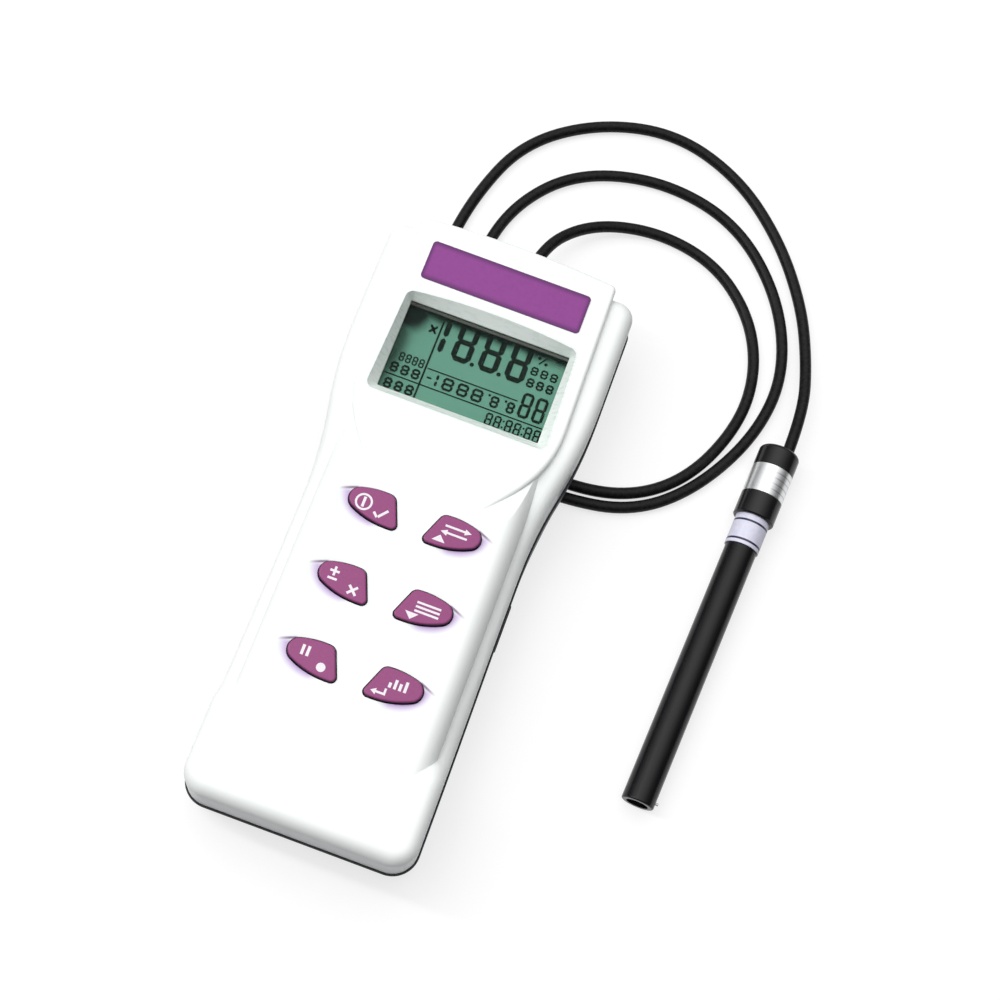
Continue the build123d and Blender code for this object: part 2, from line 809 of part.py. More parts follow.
def cable_gland():
    """Tapered sleeve that carries the cord out of the top end."""
    outer = case_top + rim_step
    inner = case_top - wall - nut_height
    body = along_y(gland_x, gland_level, gland_radius, inner, outer)
    body += along_y(gland_x, gland_level, gland_flange, outer, outer + gland_flange_height)
    sleeve = Cone(gland_flange - 0.3, cord_radius + 0.35, gland_reach)
    tip = outer + gland_flange_height + gland_reach
    body += Pos(gland_x, tip - gland_reach / 2, gland_level) * Rot(-90, 0, 0) * sleeve
    return body - along_y(gland_x, gland_level, cord_radius, inner - 1, tip + 1)


def gland_nut():
    """Ring nut that holds the gland inside the wall."""
    y = case_top - wall
    ring = along_y(gland_x, gland_level, nut_radius, y - nut_height, y)
    return ring - along_y(gland_x, gland_level, gland_radius, y - nut_height - 1, y + 1)


def probe_connector():
    """Plug of the cord on the back of the board, reached by the cord from the gland."""
    end_y = case_top - wall - nut_height - 1.0
    half = plug_width / 2
    return block(gland_x - half, gland_x + half, end_y - plug_length, end_y, gland_level - 2.6, board_level)


def dc_jack():
    """Power socket with its centre pin."""
    inner = waist_half - wall - overlap
    face = jack_face_x()
    half = jack_width / 2
    body = Pos(inner - jack_length / 2, jack_y, jack_level) * Box(jack_length, 2 * half, 2 * half)
    body += along_x(jack_y, jack_level, jack_opening, inner, face)
    body -= along_x(jack_y, jack_level, jack_bore, inner - jack_length + 2.5, face + 1)
    return body + along_x(jack_y, jack_level, jack_pin_radius, inner - jack_length + 2, face - 0.8)


def jack_cover():
    """Rubber flap over the power socket, with a plug and a knuckle round its pin."""
    inner = jack_face_x() + running_gap
    outer = inner + flap_thickness
    half = flap_height / 2
    hinge_x, hinge_y = flap_hinge_x(), flap_hinge_y()
    body = block(inner, outer, hinge_y - flap_length, hinge_y, jack_level - half, jack_level + half)
    free = [e for e in body.edges().filter_by(Axis.X) if e.center().Y < jack_y]
    body = fillet(free, 1.6)
    body += upright(hinge_x, hinge_y, flap_knuckle, jack_level - half, jack_level + half)
    lip_y = hinge_y - flap_length
    body -= along_y(outer + 0.6, jack_level, 1.1, lip_y - 1, lip_y + 1.4)
    return body - upright(hinge_x, hinge_y, flap_pin_radius + pin_clearance, -1, rear_rim)


def flap_pin():
    """Pin of the flap, held in the case above and below the recess."""
    reach = flap_height / 2 + 2
    return upright(flap_hinge_x(), flap_hinge_y(), flap_pin_radius, jack_level - reach, jack_level + reach)


def probe_frame():
    """Location of the probe: local Z runs from the tip to the cap, local X points to its right."""
    bearing = probe_length - cap_length - band_length - collar_length
    tilt = atan((probe_head_radius - tube_radius) / bearing)
    lean = radians(probe_lean)
    axis = (sin(lean) * cos(tilt), cos(lean) * cos(tilt), sin(tilt))
    right = (cos(lean), -sin(lean), 0)
    reach = probe_length * cos(tilt)
    tip = (probe_top[0] - reach * sin(lean), probe_top[1] - reach * cos(lean), tube_radius * cos(tilt))
    return Plane(origin=tip, x_dir=right, z_dir=axis).location


def tube_piece(outer, inner, low, high):
    """A ring about the probe's axis, from low to high above the tip."""
    body = Pos(0, 0, (low + high) / 2) * Cylinder(outer, high - low)
    return body - Pos(0, 0, (low + high) / 2) * Cylinder(inner, high - low + 1) if inner else body


def probe_levels():
    """Heights above the tip where the probe's pieces meet: ring, head, band, cap, top."""
    cap = probe_length - cap_length
    band = cap - band_length
    head = band - collar_length
    return head - ring_length, head, band, cap, probe_length


def probe_tube():
    """Tube with its measuring chamber, a vent on the underside and the neck that enters the head."""
    ring, head, _, _, _ = probe_levels()
    body = fillet(tube_piece(tube_radius, 0, 0, ring).faces().sort_by(Axis.Z)[0].edges(), tip_round)
    body += tube_piece(neck_radius, 0, ring, head + neck_in_head)
    body -= tube_piece(neck_radius + 1, neck_radius - seal_section, head + 2, head + 2 + 2 * seal_section)
    body -= tube_piece(cell_bore, 0, -1, cell_depth)
    body -= tube_piece(core_radius, 0, cell_depth - 1, cell_depth + 3)
    vent = Cylinder(vent_radius, 2 * (tube_radius - core_radius - 1))
    body -= Pos(0, tube_radius, cell_depth - vent_setback) * Rot(90, 0, 0) * vent
    return body - Pos(tube_radius, 0, pin_place) * Rot(0, 90, 0) * Cylinder(pin_radius, tube_radius)


def probe_head():
    """Handle body: collar, seat of the label band and spigot of the cap."""
    _, head, band, cap, _ = probe_levels()
    body = tube_piece(probe_head_radius, 0, head, cap)
    body = chamfer(body.faces().sort_by(Axis.Z)[0].edges(), 0.4)
    body -= tube_piece(probe_head_radius + 1, probe_head_radius - band_skin, band, cap + 1)
    body += tube_piece(spigot_radius, 0, cap, cap + spigot_length)
    return body - tube_piece(neck_radius, 0, head - 1, head + neck_in_head)


def label_band():
    """Silver band round the handle."""
    _, _, band, cap, _ = probe_levels()
    return tube_piece(probe_head_radius, probe_head_radius - band_skin, band, cap)


def probe_cap():
    """Cap with a rounded shoulder and the cord's entry."""
    _, _, _, cap, top = probe_levels()
    body = tube_piece(probe_head_radius, 0, cap, top)
    body = fillet(body.faces().sort_by(Axis.Z)[-1].edges(), cap_chamfer)
    body -= tube_piece(spigot_radius, 0, cap - 1, cap + spigot_length)
    depth = cap_length - spigot_length
    return body - Pos(entry_offset, 0, top - depth / 2) * Cylinder(entry_radius, depth + 1)


def marking_ring():
    """White ring between the handle and the tube."""
    ring, head, _, _, _ = probe_levels()
    return tube_piece(ring_radius, neck_radius, ring, head)


def probe_seal():
    """Sealing ring of the neck."""
    _, head, _, _, _ = probe_levels()
    return tube_piece(neck_radius, neck_radius - seal_section, head + 2, head + 2 + 2 * seal_section)


def cell_core():
    """Rod in the middle of the measuring chamber, grooved for the electrodes."""
    body = tube_piece(core_radius, 0, core_setback, cell_depth + 3)
    for low in electrode_places:
        body -= tube_piece(core_radius + 1, core_radius - electrode_skin, low, low + electrode_width)
    return body


def cell_electrodes():
    """Metal rings of the measuring cell."""
    rings = []
    for low in electrode_places:
        rings.append(tube_piece(core_radius, core_radius - electrode_skin, low, low + electrode_width))
    return Compound(children=rings)


def sensor_pin():
    """Small metal pin that stands out of the tube's right side by the tip."""
    low, high = cell_bore + 0.4, tube_radius + pin_out
    return Pos((low + high) / 2, 0, pin_place) * Rot(0, 90, 0) * Cylinder(pin_radius, high - low)


cord_points = [
    (98.88, 65.87, 6.834),
    (100.077, 84.122, 7.122),
    (96.0, 104.5, 3.4),
    (89.0, 123.0, 1.95),
    (75.5, 142.5, 1.95),
    (56.5, 159.0, 1.95),
    (32.0, 167.0, 1.95),
    (6.5, 160.5, 1.95),
    (-14.0, 144.0, 1.95),
    (-22.5, 119.5, 1.95),
    (-25.0, 94.5, 1.95),
    (-23.0, 69.5, 1.95),
    (-11.0, 46.5, 1.95),
    (11.5, 33.0, 1.95),
    (37.0, 31.5, 1.95),
    (59.5, 35.5, 1.95),
    (76.0, 50.0, 1.95),
    (88.5, 74.0, 1.95),
    (91.0, 98.0, 1.95),
    (81.0, 123.0, 1.95),
    (60.5, 143.0, 1.95),
    (33.0, 148.5, 1.95),
    (6.0, 140.5, 1.95),
    (-9.5, 121.5, 1.95),
    (-14.0, 98.0, 1.95),
    (-12.0, 75.0, 1.95),
    (-2.0, 53.5, 1.95),
    (15.5, 40.0, 1.95),
    (36.5, 36.0, 1.95),
    (58.0, 40.0, 1.95),
    (73.5, 53.5, 1.95),
    (82.5, 76.0, 1.95),
    (82.0, 95.5, 1.95),
    (74.0, 113.0, 1.95),
    (58.0, 126.5, 1.95),
    (36.0, 130.0, 2.2),
    (14.5, 122.0, 5.0),
    (3.0, 103.0, 11.0),
    (3.0, 83.0, 11.0),
]


def cord_radii():
    """Radius of the arc at each inner point: as large as its two runs allow."""
    points = [Vector(*point) for point in cord_points]
    radii = []
    for before, here, after in zip(points, points[1:], points[2:]):
        turn = radians((here - before).get_angle(after - here))
        radii.append(0.45 * min((here - before).length, (after - here).length) / tan(turn / 2))
    return radii


def probe_cord():
    """Cord from the probe's cap in two coils under the meter's head to the gland."""
    path = FilletPolyline(*cord_points, radius=cord_radii())
    section = Plane(origin=path @ 0, z_dir=path % 0) * Circle(cord_radius)
    return sweep(section, path=path)


def pieces():
    """Every piece of the meter by name."""
    made = {
        "front_case": front_case(),
        "rear_case": rear_case(),
        "case_seal": case_seal(),
        "title_plate": title_plate(),
        "display_bezel": display_bezel(),
        "display_window": display_window(),
        "lcd_frame": lcd_frame(),
        "lcd_glass": lcd_glass(),
        "lcd_connectors": lcd_connectors(),
        "main_board": main_board(),
        "board_chips": board_chips(),
        "board_screws": board_screws(),
        "tact_switches": tact_switches(),
        "switch_domes": switch_domes(),
        "battery_cover": battery_cover(),
        "battery_cells": battery_cells(),
        "battery_springs": battery_springs(),
        "battery_plates": battery_plates(),
        "case_screws": case_screws(),
        "screw_inserts": screw_inserts(),
        "cable_gland": cable_gland(),
        "gland_nut": gland_nut(),
        "probe_connector": probe_connector(),
        "dc_jack": dc_jack(),
        "jack_cover": jack_cover(),
        "flap_pin": flap_pin(),
        "probe_cord": probe_cord(),
    }
    for name, side, x, y in key_places():
        made[name] = key(side, x, y)
    place = probe_frame()
    for make in (probe_tube, probe_head, label_band, probe_cap, marking_ring, probe_seal, cell_core,
                 cell_electrodes, sensor_pin):
        made[make.__name__] = place * make()
    return made


def main():
    """Write each piece to its own file and print what the cord came to."""
    os.makedirs("parts", exist_ok=True)
    made = pieces()
    for name, piece in made.items():
        export_step(piece, f"parts/{name}.step")
    radii = cord_radii()
    length = FilletPolyline(*cord_points, radius=radii).length
    section = pi * cord_radius ** 2
    print("cord radii", [round(radius, 1) for radius in radii])
    print("cord length", round(length, 1))
    print("cord volume over section", round(made["probe_cord"].volume / section, 1))


if __name__ == "__main__":
    main()
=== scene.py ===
"""Looks of a hand-held conductivity meter with its corded probe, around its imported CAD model, in metres."""

import math

import bmesh
import bpy
from mathutils import Matrix, Vector


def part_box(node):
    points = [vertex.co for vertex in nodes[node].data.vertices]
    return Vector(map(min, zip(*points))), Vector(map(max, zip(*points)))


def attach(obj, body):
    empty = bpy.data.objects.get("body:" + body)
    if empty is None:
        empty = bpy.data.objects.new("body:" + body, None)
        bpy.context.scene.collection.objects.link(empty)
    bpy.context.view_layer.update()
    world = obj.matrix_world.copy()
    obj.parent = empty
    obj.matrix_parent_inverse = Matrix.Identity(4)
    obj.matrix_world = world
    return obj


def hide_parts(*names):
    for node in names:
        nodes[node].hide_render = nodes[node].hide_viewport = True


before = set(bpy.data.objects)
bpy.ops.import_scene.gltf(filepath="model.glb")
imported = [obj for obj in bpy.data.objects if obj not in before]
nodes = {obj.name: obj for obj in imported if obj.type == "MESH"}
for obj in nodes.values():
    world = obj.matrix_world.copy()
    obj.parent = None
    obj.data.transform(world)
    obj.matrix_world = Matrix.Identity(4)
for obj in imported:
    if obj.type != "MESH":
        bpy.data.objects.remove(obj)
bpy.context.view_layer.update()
scene = bpy.context.scene
scene.view_settings.view_transform = "Standard"

# The camera stands over the foot end and looks down on the front, leaning so
# that the meter's display end points up and to the right.
camera_place = Vector((0.03477, -0.17152, 0.55155))
camera_target = Vector((0.02019, 0.02497, 0.0))
camera_roll = 0.283
aim = (camera_target - camera_place).normalized()
level_side = aim.cross(Vector((0, 0, 1))).normalized()
level_top = level_side.cross(aim)
side = level_side * math.cos(camera_roll) + level_top * math.sin(camera_roll)
top = level_top * math.cos(camera_roll) - level_side * math.sin(camera_roll)
lens = bpy.data.cameras.new("camera")
lens.lens = 68.4
lens.sensor_width = 36.0
lens.clip_start = 0.01
camera = bpy.data.objects.new("camera", lens)
camera.matrix_world = Matrix.Translation(camera_place) @ Matrix((side, top, -aim)).transposed().to_4x4()
scene.collection.objects.link(camera)
scene.camera = camera


# The cord is a black round cable, 3.7 mm thick. It rises out of the probe's
# cap, lies in two loose coils on the table that pass under the meter's head,
# and goes into the gland in the head's end.
class Signal:
    """One shader socket, so that a material's sums are written as plain expressions."""

    def __init__(self, tree, socket):
        self.tree = tree
        self.socket = socket

    def math(self, operation, *others):
        return Recipe.node(self.tree, "ShaderNodeMath", {"operation": operation}, (self,) + others)

    def __add__(self, other):
        return self.math("ADD", other)

    def __radd__(self, other):
        return self.math("ADD", other)

    def __sub__(self, other):
        return self.math("SUBTRACT", other)

    def __rsub__(self, other):
        return Recipe.node(self.tree, "ShaderNodeMath", {"operation": "SUBTRACT"}, (other, self))

    def __mul__(self, other):
        return self.math("MULTIPLY", other)

    def __rmul__(self, other):
        return self.math("MULTIPLY", other)

    def __truediv__(self, other):
        return self.math("DIVIDE", other)

    def __abs__(self):
        return self.math("ABSOLUTE")

    def least(self, other):
        return self.math("MINIMUM", other)

    def most(self, other):
        return self.math("MAXIMUM", other)

    def ramp(self, low, high):
        """0 below low, 1 above high and a soft step between them; low may be the larger."""
        settings = {"interpolation_type": "SMOOTHSTEP"}
        return Recipe.node(self.tree, "ShaderNodeMapRange", settings, (self, low, high, 0.0, 1.0))


class Recipe:
    """A material whose shader is built from expressions."""

    def __init__(self, name, color, roughness, **settings):
        self.material = bpy.data.materials.new(name)
        self.material.use_nodes = True
        self.tree = self.material.node_tree
        self.shader = self.tree.nodes["Principled BSDF"]
        self.shader.inputs["Base Color"].default_value = (*color, 1.0)
        self.shader.inputs["Roughness"].default_value = roughness
        for key, value in settings.items():
            self.shader.inputs[key.replace("_", " ")].default_value = value
        place = self.tree.nodes.new("ShaderNodeTexCoord")
        self.place = Signal(self.tree, place.outputs["Object"])
        self.x, self.y, self.z = self.split(self.place)

    @staticmethod
    def node(tree, kind, settings, values, output=0):
        """Adds a node: its settings first, then the values or links of its sockets by place or name."""
        made = tree.nodes.new(kind)
        for key, value in settings.items():
            setattr(made, key, value)
        pairs = values.items() if isinstance(values, dict) else enumerate(values)
        for key, value in pairs:
            if isinstance(value, Signal):
                tree.links.new(value.socket, made.inputs[key])
            else:
                made.inputs[key].default_value = value
        return Signal(tree, made.outputs[output])

    def split(self, vector):
        parts = self.tree.nodes.new("ShaderNodeSeparateXYZ")
        self.tree.links.new(vector.socket, parts.inputs[0])
        return [Signal(self.tree, socket) for socket in parts.outputs]

    def noise(self, scale, detail=3.0, stretch=(1, 1, 1)):
        """Noise from about 0 to 1 over the piece; scale is in turns per metre."""
        place = self.node(self.tree, "ShaderNodeMapping", {}, {"Vector": self.place, "Scale": stretch})
        values = {"Vector": place, "Scale": scale, "Detail": detail}
        return self.node(self.tree, "ShaderNodeTexNoise", {}, values)

    def mix(self, mask, first, second):
        """Colour that goes from first to second with the mask."""
        first = first if isinstance(first, Signal) else (*first, 1.0)
        second = second if isinstance(second, Signal) else (*second, 1.0)
        values = {0: mask, 6: first, 7: second}
        return self.node(self.tree, "ShaderNodeMix", {"data_type": "RGBA"}, values, 2)

    def feed(self, name, signal):
        self.tree.links.new(signal.socket, self.shader.inputs[name])
        return self

    def bump(self, height, depth):
        """Bump of the given depth in metres."""
        values = {"Strength": 1.0, "Distance": depth, "Height": height}
        return self.feed("Normal", self.node(self.tree, "ShaderNodeBump", {}, values))

    def on(self, *names):
        """Puts the material on CAD nodes."""
        for name in names:
            slots = nodes[name].data.materials
            slots.clear()
            slots.append(self.material)
        return self


cord_route = [
    (0.09888, 0.06587, 0.006834), (0.100077, 0.084122, 0.007122), (0.0960, 0.1045, 0.0034),
    (0.0890, 0.1230, 0.00195), (0.0755, 0.1425, 0.00195), (0.0565, 0.1590, 0.00195),
    (0.0320, 0.1670, 0.00195), (0.0065, 0.1605, 0.00195), (-0.0140, 0.1440, 0.00195),
    (-0.0225, 0.1195, 0.00195), (-0.0250, 0.0945, 0.00195), (-0.0230, 0.0695, 0.00195),
    (-0.0110, 0.0465, 0.00195), (0.0115, 0.0330, 0.00195), (0.0370, 0.0315, 0.00195),
    (0.0595, 0.0355, 0.00195), (0.0760, 0.0500, 0.00195), (0.0885, 0.0740, 0.00195),
    (0.0910, 0.0980, 0.00195), (0.0810, 0.1230, 0.00195), (0.0605, 0.1430, 0.00195),
    (0.0330, 0.1485, 0.00195), (0.0060, 0.1405, 0.00195), (-0.0095, 0.1215, 0.00195),
    (-0.0140, 0.0980, 0.00195), (-0.0120, 0.0750, 0.00195), (-0.0020, 0.0535, 0.00195),
    (0.0155, 0.0400, 0.00195), (0.0365, 0.0360, 0.00195), (0.0580, 0.0400, 0.00195),
    (0.0735, 0.0535, 0.00195), (0.0825, 0.0760, 0.00195), (0.0820, 0.0955, 0.00195),
    (0.0740, 0.1130, 0.00195), (0.0580, 0.1265, 0.00195), (0.0360, 0.1300, 0.0022),
    (0.0145, 0.1220, 0.0050), (0.0030, 0.1030, 0.0110), (0.0030, 0.0830, 0.0110),
]
cord_curve = bpy.data.curves.new("cord_line", "CURVE")
cord_curve.dimensions = "3D"
cord_spline = cord_curve.splines.new("NURBS")
cord_spline.points.add(len(cord_route) - 1)
for point, place in zip(cord_spline.points, cord_route):
    point.co = (*place, 1.0)
cord_spline.order_u = 3
cord_spline.use_endpoint_u = True
cord_spline.resolution_u = 10
cord_curve.bevel_depth = 0.00185
cord_curve.bevel_resolution = 6
cord_curve.use_fill_caps = True
cord = bpy.data.objects.new("cord_line", cord_curve)
scene.collection.objects.link(cord)
sheath = Recipe("cord_sheath", (0.009, 0.009, 0.010), 0.36, Specular_IOR_Level=0.14)
grain = sheath.noise(900.0)
sheath.feed("Base Color", sheath.mix(grain.ramp(0.35, 0.7), (0.006, 0.006, 0.007), (0.013, 0.013, 0.014)))
sheath.feed("Roughness", 0.30 + grain * 0.14)
sheath.bump(grain, 0.00004)
cord_curve.materials.append(sheath.material)
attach(cord, "meter")
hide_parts("probe_cord")

# The front half is moulded in off-white plastic with a fine satin grain, and
# a lavender tint is printed round the outer end of each key.
case_white = (0.925, 0.955, 0.94)
key_column, key_row, key_pitch = 0.0125, -0.0015, 0.024
case_plastic = Recipe("case_plastic", case_white, 0.32, Specular_IOR_Level=0.45)
moulding = case_plastic.noise(2600.0, 2.0)
clouds = case_plastic.noise(30.0, 2.0)
row_number = ((case_plastic.y - key_row) / -key_pitch + 0.5).math("FLOOR").most(0.0).least(2.0)
across = abs(case_plastic.x) - key_column
along = case_plastic.y - key_row + row_number * key_pitch
halo_x = (across + 0.001) / 0.012
halo_y = (along - 0.0025) / 0.0095
halo_reach = (halo_x * halo_x + halo_y * halo_y).math("SQRT")
on_front = case_plastic.z.ramp(0.0300, 0.0310)
halo = halo_reach.ramp(1.02, 0.82) * along.ramp(0.0034, 0.0014) * across.ramp(-0.004, 0.0) * on_front
# Painted shade: a thin grey-purple line along the upper edge of each lavender tint, where the dish's edge is
# shaded, fading out at both ends.
painted_shade_line = abs(along - 0.0031 + (across - 0.008) * 0.42).ramp(0.00062, 0.00010)
painted_shade_ends = across.ramp(0.0056, 0.0066) * across.ramp(0.0118, 0.0078) * on_front
tint = case_plastic.mix(halo_reach.ramp(0.92, 0.66), (0.74, 0.64, 0.85), (0.50, 0.36, 0.66))
tone = case_plastic.mix(clouds.ramp(0.35, 0.65), (0.915, 0.948, 0.932), (0.935, 0.962, 0.950))
tinted = case_plastic.mix(halo, tone, tint)
case_plastic.feed("Base Color", case_plastic.mix(painted_shade_line * painted_shade_ends, tinted, (0.25, 0.16, 0.28)))
case_plastic.feed("Roughness", 0.30 + moulding * 0.08)
case_plastic.bump(moulding, 0.00001)
case_plastic.on("front_case")

# The rear half and its sliding battery cover are moulded in dark slate
# plastic with a rougher spark texture.
slate_plastic = Recipe("slate_plastic", (0.045, 0.05, 0.062), 0.48, Specular_IOR_Level=0.4)
spark = slate_plastic.noise(1800.0, 3.0)
slate_tone = slate_plastic.mix(spark.ramp(0.3, 0.7), (0.036, 0.040, 0.051), (0.056, 0.061, 0.075))
slate_plastic.feed("Base Color", slate_tone)
slate_plastic.feed("Roughness", 0.42 + spark * 0.16)
slate_plastic.bump(spark, 0.00004)
slate_plastic.on("rear_case", "battery_cover")

# The seal between the halves is a black rubber strip, and so are the gland
# of the cord and the flap over the power socket.
seal_rubber = Recipe("seal_rubber", (0.012, 0.012, 0.013), 0.62, Specular_IOR_Level=0.3)
bloom = seal_rubber.noise(420.0, 4.0)
seal_tone = seal_rubber.mix(bloom.ramp(0.35, 0.7), (0.009, 0.009, 0.010), (0.022, 0.022, 0.024))
seal_rubber.feed("Base Color", seal_tone)
seal_rubber.feed("Roughness", 0.55 + bloom * 0.18)
seal_rubber.bump(bloom, 0.00002)
seal_rubber.on("case_seal", "cable_gland", "jack_cover", "probe_seal")

# The title plate is a purple printed film with a bare satin face, a little
# darker along its edges. It is glued into a shallow seat above the display.
title_film = Recipe("title_film", (0.265, 0.052, 0.270), 0.34, Specular_IOR_Level=0.20)
film_grain = title_film.noise(700.0, 2.0)
edge_x = (0.0254 - abs(title_film.x)).ramp(0.0, 0.0016)
edge_y = (0.00655 - abs(title_film.y - 0.07825)).ramp(0.0, 0.0022)
inner_film = title_film.mix(film_grain, (0.245, 0.048, 0.258), (0.295, 0.062, 0.295))
title_film.feed("Base Color", title_film.mix(edge_x * edge_y, (0.13, 0.030, 0.150), inner_film))
title_film.feed("Roughness", 0.30 + film_grain * 0.10)
title_film.on("title_plate")

# The display's bezel is a glossy pale green-grey moulding that slopes down
# to a clear window of thin sheet.
bezel_plastic = Recipe("bezel_plastic", (0.76, 0.82, 0.785), 0.28)
streak = bezel_plastic.noise(260.0, 2.0, (1.0, 4.0, 1.0))
bezel_tone = bezel_plastic.mix(streak.ramp(0.3, 0.7), (0.83, 0.90, 0.865), (0.89, 0.94, 0.915))
bezel_plastic.feed("Base Color", bezel_tone)
bezel_plastic.feed("Roughness", 0.24 + streak * 0.08)
bezel_plastic.on("display_bezel")

window_glass = Recipe("window_glass", (0.02, 0.03, 0.03), 0.04, Alpha=0.06, Specular_IOR_Level=0.35)
smears = window_glass.noise(180.0, 3.0)
window_glass.feed("Roughness", 0.03 + smears * 0.05)
window_glass.on("display_window")

# The display glass is grey-green and mirrors a little. The recess's shadow is painted into its
# colour: it goes near black along its top and left edges and in two patches at the upper left.
lcd_film = Recipe("lcd_film", (0.127, 0.32, 0.236), 0.32, Specular_IOR_Level=0.06)
fibres = lcd_film.noise(1500.0, 2.0)
cloud = lcd_film.noise(160.0, 2.0) * 0.003
top_shade = (lcd_film.y + cloud).ramp(0.0630, 0.0662)
left_shade = (lcd_film.x + cloud).ramp(-0.0228, -0.0256)
blob_x = (lcd_film.x + 0.0245) / 0.0085
blob_y = (lcd_film.y - 0.0640) / 0.0090
shadow_blob = ((blob_x * blob_x + blob_y * blob_y).math("SQRT") + cloud * 60.0).ramp(1.10, 0.55)
low_blob_x = (lcd_film.x + 0.0265) / 0.0060
low_blob_y = (lcd_film.y - 0.0520) / 0.0160
low_shadow_blob = (low_blob_x * low_blob_x + low_blob_y * low_blob_y).math("SQRT").ramp(1.1, 0.4) * 0.7
# Painted shadow: the top, left and patch masks darken the glass towards near black.
painted_shadow = top_shade.most(left_shade).most(shadow_blob).most(low_shadow_blob)
unshadowed_film = lcd_film.mix(fibres, (0.130, 0.345, 0.250), (0.165, 0.390, 0.290))
lcd_film.feed("Base Color", lcd_film.mix(painted_shadow, unshadowed_film, (0.006, 0.016, 0.011)))
lcd_film.feed("Roughness", 0.28 + fibres * 0.10)
lcd_film.on("lcd_glass")

# The signs of the display are dark seven-segment figures and thin rules, and
# all of its figures are shown at once. They lie on the face of the glass.
lcd_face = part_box("lcd_glass")[1][2]
figures = bmesh.new()


def stroke(mesh, x, y, length, width, turn=0.0, taper=0.5):
    """A flat bar with pointed or chamfered ends, from its middle and size, in millimetres."""
    place = Matrix.Translation((x / 1000, y / 1000, 0)) @ Matrix.Rotation(math.radians(turn), 4, "Z")
    place = place @ Matrix.Diagonal((length / 2000, width / 2000, 1, 1))
    made = bmesh.ops.create_grid(mesh, x_segments=1, y_segments=1, size=1.0, matrix=place)
    if taper:
        bmesh.ops.bevel(mesh, geom=made["verts"], offset=width * taper / 1000, affect="VERTICES",
                        segments=1, profile=0.5, material=-1)


def figure(mesh, x, y, width, height, thickness, bars="abcdefg"):
    """A seven-segment figure about its middle."""
    half_x = (width - thickness) / 2
    half_y = (height - thickness) / 2
    level = width - thickness * 0.9
    post = half_y - thickness * 0.1
    places = {
        "a": (0, half_y, level, 0), "g": (0, 0, level, 0), "d": (0, -half_y, level, 0),
        "f": (-half_x, half_y / 2, post, 90), "b": (half_x, half_y / 2, post, 90),
        "e": (-half_x, -half_y / 2, post, 90), "c": (half_x, -half_y / 2, post, 90),
    }
    for bar in bars:
        dx, dy, length, turn = places[bar]
        stroke(mesh, x + dx, y + dy, length, thickness, turn, 0.42)


def dot(mesh, x, y, radius):
    """A flat round dot."""
    place = Matrix.Translation((x / 1000, y / 1000, 0))
    bmesh.ops.create_circle(mesh, cap_ends=True, segments=14, radius=radius / 1000, matrix=place)


def printed(name, mesh, level, thickness, material, body):
    """Makes flat faces into a thin printed piece on a body, its top at the given level."""
    bmesh.ops.translate(mesh, verts=mesh.verts, vec=(0, 0, level))
    bmesh.ops.recalc_face_normals(mesh, faces=mesh.faces)
    for face in mesh.faces:
        if face.normal.z < 0:
            face.normal_flip()
    sheet = bpy.data.meshes.new(name)
    mesh.to_mesh(sheet)
    mesh.free()
    sheet.materials.append(material)
    piece = bpy.data.objects.new(name, sheet)
    scene.collection.objects.link(piece)
    solid = piece.modifiers.new("thickness", "SOLIDIFY")
    solid.thickness = thickness
    solid.offset = -1.0
    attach(piece, body)


stroke(figures, -12.2, 61.8, 5.4, 1.7, 90)
stroke(figures, -12.2, 56.2, 5.0, 1.7, 90)
for x in (-5.5, 3.15, 11.65):
    figure(figures, x, 59.6, 6.3, 13.4, 1.75)
for x in (-1.55, 7.05):
    dot(figures, x, 53.6, 0.7)
stroke(figures, -12.0, 44.8, 1.7, 0.6)
stroke(figures, -9.6, 45.8, 1.8, 0.8, 90)
stroke(figures, -9.6, 43.7, 1.8, 0.8, 90)
for x in (-6.0, -1.3, 3.3):
    figure(figures, x, 44.75, 3.5, 4.2, 0.8)
dot(figures, 6.85, 46.3, 0.42)
figure(figures, 8.9, 44.7, 2.7, 3.8, 0.75)
dot(figures, 12.1, 46.2, 0.42)
figure(figures, 14.0, 44.7, 2.5, 3.8, 0.75)
for x in (18.1, 22.6):
    figure(figures, x, 47.05, 3.6, 8.4, 0.95)
for x in (9.1, 11.85, 15.4, 18.1, 21.6, 24.3):
    figure(figures, x, 38.9, 2.2, 4.2, 0.6)
for x in (13.6, 19.9):
    dot(figures, x, 39.9, 0.32)
    dot(figures, x, 37.9, 0.32)
stroke(figures, -16.3, 60.2, 3.6, 0.8, 50)
stroke(figures, -16.3, 60.2, 3.6, 0.8, -50)
for x in (-22.0, -19.9, -17.8, -15.7):
    figure(figures, x, 48.3, 1.7, 3.0, 0.5)
for x in (-23.0, -19.6, -16.2):
    figure(figures, x, 44.4, 2.6, 3.4, 0.75)
    figure(figures, x, 38.8, 2.6, 3.6, 0.8)
for x in (16.9, 20.0, 23.1):
    figure(figures, x, 58.6, 2.3, 2.9, 0.6)
    figure(figures, x, 54.6, 2.4, 3.1, 0.7)
stroke(figures, 18.2, 62.6, 3.4, 0.5, 55)
dot(figures, 17.0, 63.2, 0.55)
dot(figures, 19.4, 61.9, 0.55)
stroke(figures, -14.1, 50.2, 26.6, 0.6, 90, 0.0)
stroke(figures, 0.9, 47.6, 28.8, 0.45, 0, 0.0)
stroke(figures, 0.0, 41.8, 50.4, 0.45, 0, 0.0)
segment_ink = Recipe("segment_ink", (0.006, 0.014, 0.010), 0.40, Specular_IOR_Level=0.04)
blotch = segment_ink.noise(900.0, 2.0)
segment_ink.feed("Base Color", segment_ink.mix(blotch, (0.004, 0.010, 0.007), (0.009, 0.020, 0.014)))
printed("display_figures", figures, lcd_face + 0.00004, 0.00003, segment_ink.material, "meter")
